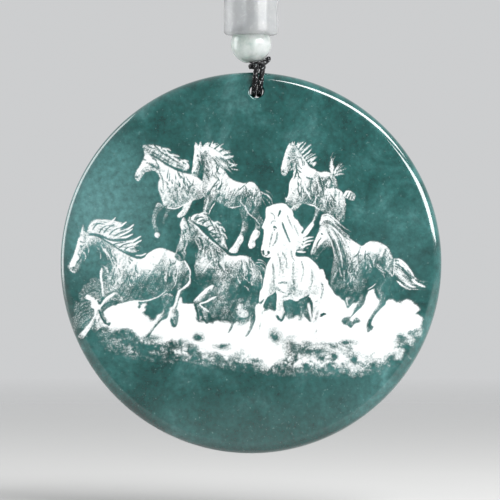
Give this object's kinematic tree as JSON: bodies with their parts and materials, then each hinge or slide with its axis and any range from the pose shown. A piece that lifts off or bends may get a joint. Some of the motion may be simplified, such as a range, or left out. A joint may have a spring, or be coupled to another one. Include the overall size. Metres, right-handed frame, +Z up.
{
  "type": "engraved jade disc pendant",
  "caption": "Round jade disc pendant engraved with galloping horses, hung by a braided cord through a tube bead nested between round beads.",
  "frame": {"origin": "the bearing point inside the crown of the hanging loop, where a hook or finger holds the cord", "axes": "+Z up along the taut cord; the engraved face of the disc looks along -Y; +X to the right seen from the front"},
  "size_m": [0.056, 0.008, 0.1032],
  "materials": {
    "blue_green_jade": "polished, cloudy, slightly translucent",
    "pale_green_jade": "polished, translucent",
    "white_jade": "polished, milky and translucent",
    "black_cord": "braided, slightly glossy"
  },
  "bodies": {
    "loop": {"hanging_loop": "black_cord"},
    "stopper": {"top_knot": "black_cord"},
    "cord": {"core_strand_front": "black_cord", "core_strand_back": "black_cord"},
    "lower_bead": {"lower_round_bead": "pale_green_jade"},
    "tube": {"tube_bead": "white_jade"},
    "upper_bead": {"upper_round_bead": "pale_green_jade"},
    "bail": {"bail_knot": "black_cord", "bail_strand_left": "black_cord", "bail_strand_right": "black_cord"},
    "disc": {"jade_disc": "blue_green_jade"}
  },
  "joints": [
    {"name": "side_swing", "type": "hinge", "parent": "loop", "child": "stopper", "pos_m": [0, 0, -0.0171], "axis": [0, 1, 0], "range_deg": [-40, 40]},
    {"name": "fore_aft_swing", "type": "hinge", "parent": "stopper", "child": "cord", "pos_m": [0, 0, -0.0171], "axis": [1, 0, 0], "range_deg": [-40, 40]},
    {"name": "bead_slide", "type": "slide", "parent": "cord", "child": "lower_bead", "axis": [0, 0, 1], "range_m": [0, 0.003]},
    {"name": "tube_spin", "type": "hinge", "parent": "lower_bead", "child": "tube", "pos_m": [0, 0, -0.033], "axis": [0, 0, 1], "continuous": true},
    {"name": "upper_bead_spin", "type": "hinge", "parent": "tube", "child": "upper_bead", "pos_m": [0, 0, -0.0246], "axis": [0, 0, 1], "continuous": true},
    {"name": "pendant_turn", "type": "hinge", "parent": "cord", "child": "bail", "pos_m": [0, 0, -0.0455], "axis": [0, 0, 1], "range_deg": [-180, 180]},
    {"name": "disc_swing", "type": "hinge", "parent": "bail", "child": "disc", "pos_m": [0.0008, 0, -0.0491], "axis": [0, 1, 0], "range_deg": [-10, 10]}
  ]
}
